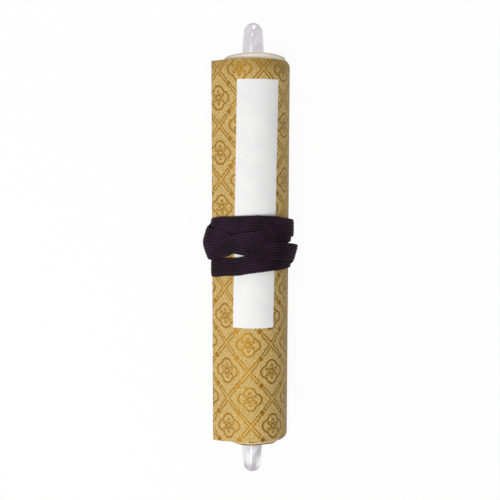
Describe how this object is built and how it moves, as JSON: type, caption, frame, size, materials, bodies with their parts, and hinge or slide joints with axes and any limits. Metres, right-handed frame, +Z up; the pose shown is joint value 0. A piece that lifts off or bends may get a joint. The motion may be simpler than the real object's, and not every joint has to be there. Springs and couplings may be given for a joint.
{
  "type": "paper scroll",
  "caption": "Handscroll rolled on a rod with clear end knobs, wrapped in a brocade cover with a blank title slip and tied round the middle with a flat braided cord.",
  "frame": {"origin": "on the floor under the roll's axis, halfway along the cover, on the flat spot of the cord winding", "axes": "+Y along the roll towards its top end, +Z up through the side with the title slip, +X across to the right when the slip is read upright"},
  "size_m": [0.0684, 0.3372, 0.0602],
  "materials": {
    "paper": "matte",
    "brocade": "woven silk sheen",
    "stave_wood": "plain",
    "rod_wood": "plain",
    "clear_knob": "clear gloss",
    "slip_paper": "matte",
    "cord_braid": "braided"
  },
  "bodies": {
    "root": {"paper_roll": "paper", "brocade_cover": "brocade", "cover_stave": "stave_wood", "roller_rod": "rod_wood", "knob_top": "clear_knob", "knob_bottom": "clear_knob", "title_slip": "slip_paper", "tie_cord": "cord_braid"}
  },
  "joints": []
}
